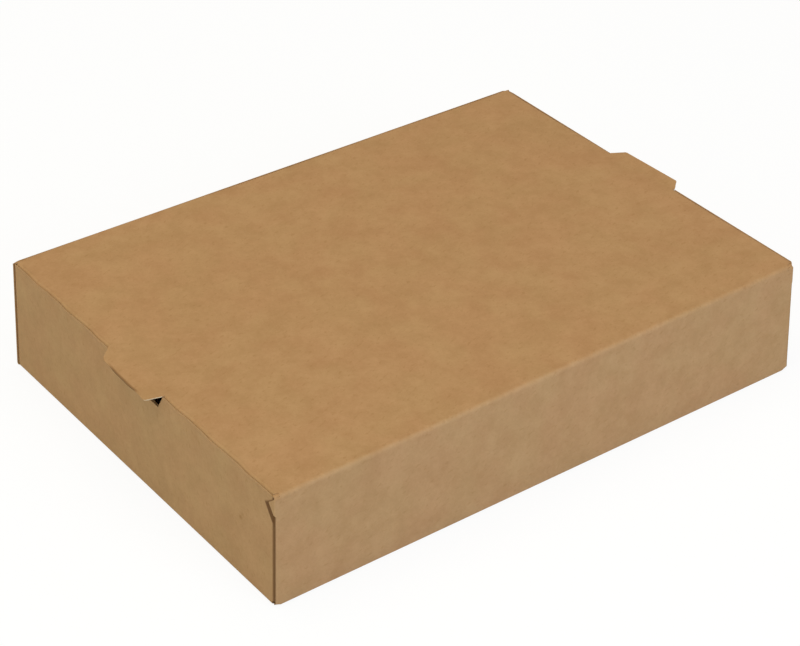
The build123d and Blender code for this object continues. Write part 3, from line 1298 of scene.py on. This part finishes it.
class BoardChain(NodeChain):
    """The nodes of a material of the board, with its coordinates and the sheet's values."""

    def __init__(self, material: bpy.types.Material) -> None:
        """Starts with the coordinates on the object and the sheet's two values.

        Args:
            material: The material.
        """
        super().__init__(material)
        self.place = self.add("ShaderNodeTexCoord").outputs["Object"]
        self.wear_and_highlight, self.painted_shade = (
            self.add("ShaderNodeAttribute", attribute_name=name).outputs["Fac"]
            for name in (Sheet.WEAR_AND_HIGHLIGHT, Sheet.PAINTED_SHADE)
        )

    @cached_property
    def blank(self) -> Socket:
        """Coordinates on the flat sheet."""
        return self.add("ShaderNodeUVMap", uv_map=Sheet.BLANK).outputs["UV"]

    def board(self, colour: Socket, roughness: Socket | float, specular: float, height: Socket,
              relief: float, depth: float) -> None:
        """Ends the chain with a principled surface whose height is a bump.

        Args:
            colour: Its colour.
            roughness: Its roughness.
            specular: How much it mirrors.
            height: Its height, from 0 to 1.
            relief: How strong the bump is.
            depth: The height's size in metres.
        """
        bump = {"Strength": relief, "Distance": depth, "Height": height}
        surface = {
            "Base Color": colour,
            "Roughness": roughness,
            "Specular IOR Level": specular,
            "Normal": self.feed(self.add("ShaderNodeBump"), bump),
        }
        self.finish(self.feed(self.add("ShaderNodeBsdfPrincipled"), surface))


@dataclass(frozen=True)
class Scuff:
    """A small rubbed spot: its place on the box, its radius and how much darker it is."""

    place: Triple
    radius: float
    depth: float


@dataclass(frozen=True)
class KraftFinish:
    """Unbleached kraft board: soft mottling, pressed fibres and flecks, folds rubbed light and partly
    painted with a highlight, and painted shade in gaps.

    A noise is its waves to the metre, its detail and its roughness. A range is where its
    value starts to count and where it counts in full. A shade is a share darker or paler.
    """

    name: str
    colour: Triple = (0.453, 0.253, 0.1125)
    # Colour of the folds' lightening: rubbed board, and on the crease partly a painted highlight.
    rub_and_highlight_colour: Triple = (0.60, 0.40, 0.23)
    # Colour of the painted shade in gaps, under the lugs and along a tongue's tip.
    gap: Triple = (0.150, 0.062, 0.016)
    channel_change: Triple = (0.75, 1.0, 1.45)
    mottle: float = 0.19
    mottle_noise: Triple = (80.0, 4.0, 0.82)
    mottle_range: Span = (0.25, 0.75)
    tint: float = 0.03
    tint_share: float = 0.4
    tint_noise: Triple = (42.0, 2.0, 0.6)
    tint_range: Span = (0.3, 0.7)
    fibre: float = 0.204
    fibre_turns: Triple = (8.0, 64.0, -47.0)
    fibre_stretches: Triple = (9.0, 6.0, 7.0)
    fibre_noise: Triple = (300.0, 2.0, 0.6)
    fibre_dark: Span = (0.55, 0.74)
    fibre_pale: Span = (0.26, 0.45)
    fibre_shades: Span = (-0.22, 0.20)
    fleck: float = 0.26
    fleck_turn: float = 20.0
    fleck_stretch: float = 2.2
    fleck_noise: Triple = (330.0, 1.0, 0.4)
    fleck_range: Span = (0.63, 0.73)
    fleck_shade: float = -0.40
    scuff_shade: float = -0.55
    rub_and_highlight: float = 0.18
    rub_and_highlight_noise: Triple = (190.0, 3.0, 0.5)
    rub_and_highlight_range: Span = (0.3, 0.7)
    rub_and_highlight_least: float = 0.3
    roughness: float = 0.78
    roughness_change: Span = (-0.05, 0.06)
    roughness_range: Span = (0.3, 0.7)
    specular: float = 0.30
    relief: float = 0.10
    relief_depth: float = 0.1 * MM
    painted_gap_shade: float = 1.0
    scuffs: tuple[Scuff, ...] = (
        Scuff((-140.9 * MM, -77.8 * MM, 29.4 * MM), 1.9 * MM, 0.52),
        Scuff((-140.9 * MM, -79.2 * MM, 31.4 * MM), 1.6 * MM, 0.32),
        Scuff((-140.9 * MM, -82.8 * MM, 35.9 * MM), 1.4 * MM, 0.18),
    )

    def shade(self, change: float) -> Triple:
        """The finish's own colour, darker or paler by a share, and paler in blue the most."""
        return tuple(c * (1 + w * change) for c, w in zip(self.colour, self.channel_change))

    def clouds(self, n: BoardChain, cloud: Socket) -> Socket:
        """Cloudy mottling and a faint change of tint, between warmer and cooler.

        Args:
            n: The material's nodes.
            cloud: The mottling's noise.

        Returns:
            The colour.
        """
        shades = self.shade(-self.mottle), self.shade(self.mottle)
        colour = n.mix(n.ranged(cloud, *self.mottle_range), *shades)
        red, green, blue = self.colour
        more, less = 1 + self.tint, 1 - self.tint
        warm, cool = (red * more, green * less, blue * less), (red * less, green * more, blue * less)
        change = n.ranged(n.noise(n.place, *self.tint_noise), *self.tint_range)
        return n.mix(self.tint_share, colour, n.mix(change, warm, cool))

    def fibres(self, n: BoardChain, colour: Socket) -> tuple[Socket, Socket]:
        """Pressed fibres: three layers of stretched noise, turned against each other.

        Args:
            n: The material's nodes.
            colour: The colour so far.

        Returns:
            The colour with the fibres' dark and pale streaks, and their height.
        """
        deep, pale = self.fibre_shades
        heights = []
        for degrees, stretch in zip(self.fibre_turns, self.fibre_stretches):
            strand = n.noise(n.turned(n.blank, degrees, (1.0, stretch, 1.0)), *self.fibre_noise)
            dark = n.ranged(strand, *self.fibre_dark, 0.0, self.fibre)
            light = n.ranged(strand, *self.fibre_pale, self.fibre, 0.0)
            colour = n.mix(light, n.mix(dark, colour, self.shade(deep)), self.shade(pale))
            heights.append(strand)
        first, second, third = heights
        return colour, n.math("ADD", n.math("ADD", first, second), third)

    def spots(self, n: BoardChain, colour: Socket) -> Socket:
        """Flecks at the peaks of one more noise, and scuffs that fade out with distance.

        Args:
            n: The material's nodes.
            colour: The colour so far.

        Returns:
            The colour with its spots.
        """
        turned = n.turned(n.blank, self.fleck_turn, (1.0, self.fleck_stretch, 1.0))
        spot = n.ranged(n.noise(turned, *self.fleck_noise), *self.fleck_range, 0.0, self.fleck)
        colour = n.mix(spot, colour, self.shade(self.fleck_shade))
        for scuff in self.scuffs:
            apart = n.add("ShaderNodeVectorMath", operation="DISTANCE")
            away = n.feed(apart, {0: n.place, 1: scuff.place}, "Value")
            near = n.ranged(away, 0.0, scuff.radius, scuff.depth, 0.0)
            colour = n.mix(near, colour, self.shade(self.scuff_shade))
        return colour

    def folds(self, n: BoardChain, colour: Socket) -> Socket:
        """Folds unevenly lightened, as rubbed board and partly as a painted highlight, and painted
        shade in gaps, under the lugs and along a tongue's tip, where the sheet's own values say.

        Args:
            n: The material's nodes.
            colour: The colour so far.

        Returns:
            The colour with its folds and gaps.
        """
        patches = n.noise(n.place, *self.rub_and_highlight_noise)
        uneven = n.ranged(patches, *self.rub_and_highlight_range, self.rub_and_highlight_least, 1.0)
        # Lightening of the folds, rubbed board and partly a painted highlight, uneven along them.
        lightening = n.math("MULTIPLY", n.wear_and_highlight, uneven)
        colour = n.mix(n.math("MULTIPLY", lightening, self.rub_and_highlight), colour, self.rub_and_highlight_colour)
        # Painted shade where the sheet's painted-shade value says.
        painted_dark = n.math("MULTIPLY", n.painted_shade, self.painted_gap_shade)
        return n.mix(painted_dark, colour, self.gap)

    def material(self) -> bpy.types.Material:
        """Builds the node material, on the object's and the flat sheet's own coordinates."""
        material = bpy.data.materials.new(self.name)
        n = BoardChain(material)
        cloud = n.noise(n.place, *self.mottle_noise)
        colour, height = self.fibres(n, self.clouds(n, cloud))
        colour = self.folds(n, self.spots(n, colour))
        smoothest, roughest = (self.roughness + change for change in self.roughness_change)
        rough = n.ranged(cloud, *self.roughness_range, smoothest, roughest)
        n.board(colour, rough, self.specular, height, self.relief, self.relief_depth)
        return material


@dataclass(frozen=True)
class CutEdgeFinish:
    """The board's die-cut edge: paler loose fibres in thin layers."""

    name: str = "cut_edge"
    dark: Triple = (0.35275, 0.204, 0.0952)
    light: Triple = (0.4565, 0.264, 0.1232)
    pale: Triple = (0.66, 0.50, 0.33)
    # Colour of the painted shade on the cut edges.
    painted_dark: Triple = (0.14, 0.07, 0.03)
    fuzz_noise: Triple = (2400.0, 2.0, 0.6)
    fuzz_range: Span = (0.3, 0.7)
    pale_range: Span = (0.6, 1.0)
    roughness: float = 0.95
    specular: float = 0.15
    relief: float = 0.3
    relief_depth: float = 0.05 * MM

    def material(self) -> bpy.types.Material:
        """Builds the node material: fine noise between a darker and a lighter kraft.

        It is pale where the sheet's wear-and-highlight value reaches 1, which on the end walls' top
        edges is partly painted light over the shadow in the gap under the lid, and darkened by
        painted shade where the sheet's painted-shade value says.
        """
        material = bpy.data.materials.new(self.name)
        n = BoardChain(material)
        fuzz = n.noise(n.place, *self.fuzz_noise)
        colour = n.mix(n.ranged(fuzz, *self.fuzz_range), self.dark, self.light)
        colour = n.mix(n.ranged(n.wear_and_highlight, *self.pale_range), colour, self.pale)
        colour = n.mix(n.painted_shade, colour, self.painted_dark)
        n.board(colour, self.roughness, self.specular, fuzz, self.relief, self.relief_depth)
        return material


@dataclass(frozen=True)
class Softbox:
    """A square area lamp that points at the box."""

    name: str
    place: Triple
    size: float
    power: float
    colour: Triple

    def build(self, target: Vector) -> bpy.types.Object:
        """Makes the lamp.

        Args:
            target: The place that it is turned to.

        Returns:
            The lamp's object.
        """
        lamp = bpy.data.lights.new(self.name, "AREA")
        lamp.shape = "SQUARE"
        lamp.size = self.size
        lamp.energy = self.power
        lamp.color = self.colour
        holder = bpy.data.objects.new(self.name, lamp)
        bpy.context.scene.collection.objects.link(holder)
        holder.location = self.place
        holder.rotation_euler = (target - Vector(self.place)).to_track_quat("-Z", "Y").to_euler()
        return holder


@dataclass(frozen=True)
class Studio:
    """Floor, world, lamps and camera. Angles are in degrees and the lens in millimetres."""

    floor_half: float = 4.0
    floor_colour: Triple = (0.80, 0.80, 0.80)
    floor_glow: float = 1.05
    floor_glow_share: float = 0.85
    camera_place: Triple = (-0.517905, -0.652401, 0.585174)
    azimuth: float = -38.29
    elevation: float = 34.02
    roll: float = 1.69
    lens: float = 101.16
    sensor_width: float = 36.0
    clip_start: float = 0.01
    ambient: float = 0.45
    lamps: tuple[Softbox, ...] = (
        Softbox("top_softbox", (-0.15, 0.10, 1.30), 1.2, 8.2, (1.0, 0.84, 0.51)),
        Softbox("hinge_side_softbox", (0.06, -1.33, 0.55), 0.9, 10.7, (0.61, 0.78, 1.0)),
        Softbox("end_side_softbox", (-1.35, -0.10, 0.55), 0.9, 4.80, (0.76, 1.0, 0.96)),
    )

    def floor(self) -> bpy.types.Object:
        """A plain pale floor, white to the camera apart from the box's faint shadow."""
        h = self.floor_half
        mesh = bpy.data.meshes.new("floor")
        mesh.from_pydata([(-h, -h, 0), (h, -h, 0), (h, h, 0), (-h, h, 0)], [], [(0, 1, 2, 3)])
        floor = bpy.data.objects.new("floor", mesh)
        bpy.context.scene.collection.objects.link(floor)
        material = bpy.data.materials.new("pale_floor")
        n = NodeChain(material)
        matt = n.feed(n.add("ShaderNodeBsdfDiffuse"), {"Color": self.floor_colour})
        white = n.feed(n.add("ShaderNodeEmission"), {"Strength": self.floor_glow})
        share = n.math("MULTIPLY", n.seen(), self.floor_glow_share)
        n.finish(n.feed(n.add("ShaderNodeMixShader"), {0: share, 1: matt, 2: white}))
        mesh.materials.append(material)
        return floor

    def world(self) -> None:
        """A white background, and a soft even light from all round."""
        world = bpy.data.worlds.new("studio")
        bpy.context.scene.world = world
        n = NodeChain(world, "ShaderNodeOutputWorld")
        strength = n.feed(n.add("ShaderNodeMix"), {0: n.seen(), 2: self.ambient, 3: 1.0})
        n.finish(n.feed(n.add("ShaderNodeBackground"), {"Strength": strength}))

    def camera(self) -> bpy.types.Object:
        """A camera at the photograph's place, angle and focal length.

        Its back axis is (sin a cos e, -cos a cos e, sin e) of its azimuth and elevation, its
        right axis is level, and both side axes are then turned by the roll.
        """
        a, e, r = (math.radians(v) for v in (self.azimuth, self.elevation, self.roll))
        back = Vector((math.sin(a) * math.cos(e), -math.cos(a) * math.cos(e), math.sin(e)))
        level = Vector((0, 0, 1)).cross(back).normalized()
        upright = back.cross(level)
        right = level * math.cos(r) + upright * math.sin(r)
        up = upright * math.cos(r) - level * math.sin(r)
        lens = bpy.data.cameras.new("camera")
        lens.lens = self.lens
        lens.sensor_width = self.sensor_width
        lens.clip_start = self.clip_start
        camera = bpy.data.objects.new("camera", lens)
        bpy.context.scene.collection.objects.link(camera)
        turn = Matrix((right, up, back)).transposed().to_4x4()
        camera.matrix_world = Matrix.Translation(self.camera_place) @ turn
        bpy.context.scene.camera = camera
        return camera

    def build(self, target: Vector) -> None:
        """Builds the whole studio.

        Args:
            target: The place that the lamps are turned to.
        """
        self.floor()
        self.world()
        for lamp in self.lamps:
            lamp.build(target)
        self.camera()
        bpy.context.scene.view_settings.view_transform = "Standard"


def main() -> None:
    """Loads the frame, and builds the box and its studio."""
    logging.basicConfig(level=logging.INFO, format="%(name)s: %(message)s")
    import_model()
    carton = Carton.from_frame()
    settling = Settling(carton)
    outside = KraftFinish("kraft_outside").material()
    inside = KraftFinish(
        "kraft_inside", colour=(0.455, 0.262, 0.122), rub_and_highlight=0.0, painted_gap_shade=0.0, scuffs=()
    ).material()
    finishes = (outside, inside, CutEdgeFinish().material())
    for part in (Tray(carton), Lid(carton)):
        piece = part.build(finishes, settling)
        mesh = piece.data
        LOG.info("%s: %d vertices, %d faces", piece.name, len(mesh.vertices), len(mesh.polygons))
    Studio().build(Vector((0.0, 0.0, carton.height / 2)))


if __name__ == "__main__":
    main()
